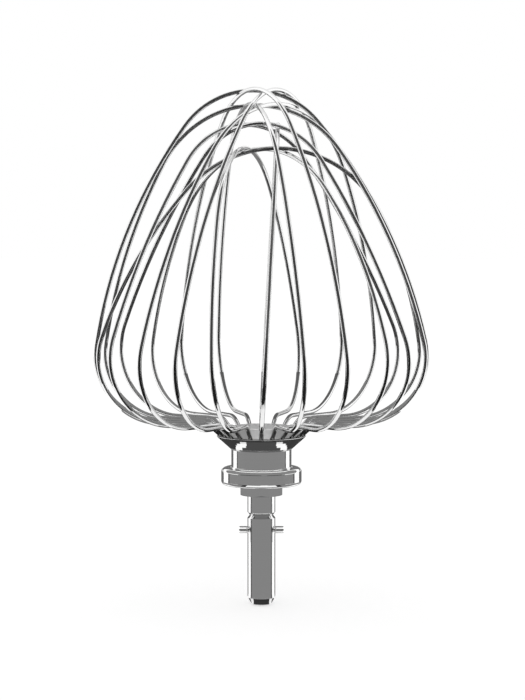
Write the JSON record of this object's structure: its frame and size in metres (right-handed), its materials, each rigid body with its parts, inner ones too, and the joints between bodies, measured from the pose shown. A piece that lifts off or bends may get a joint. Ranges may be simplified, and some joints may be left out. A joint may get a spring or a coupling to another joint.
{
  "type": "stand mixer wire whisk",
  "caption": "Balloon wire whisk for a stand mixer: bent wire loops wedged in a turned hub on a bayonet drive shaft with a cross pin.",
  "frame": {"origin": "centre of the drive shaft's free end face", "axes": "+Z along the shaft axis, up to the crown of the wire cage; +X along the cross pin"},
  "size_m": [0.1526, 0.1526, 0.2347],
  "materials": {
    "spindle": "polished stainless steel, turned",
    "drive_pin": "ground stainless steel",
    "hub": "polished stainless steel, turned",
    "wire_plug": "satin stainless steel",
    "wire": "bright drawn stainless wire"
  },
  "bodies": {
    "root": {"spindle": "spindle", "drive_pin": "drive_pin", "hub": "hub", "wire_plug": "wire_plug", "wire_tall_1": "wire", "wire_tall_2": "wire", "wire_tall_3": "wire", "wire_upper_1": "wire", "wire_upper_2": "wire", "wire_upper_3": "wire", "wire_middle_1": "wire", "wire_middle_2": "wire", "wire_middle_3": "wire", "wire_low_1": "wire", "wire_low_2": "wire", "wire_low_3": "wire"}
  },
  "joints": []
}
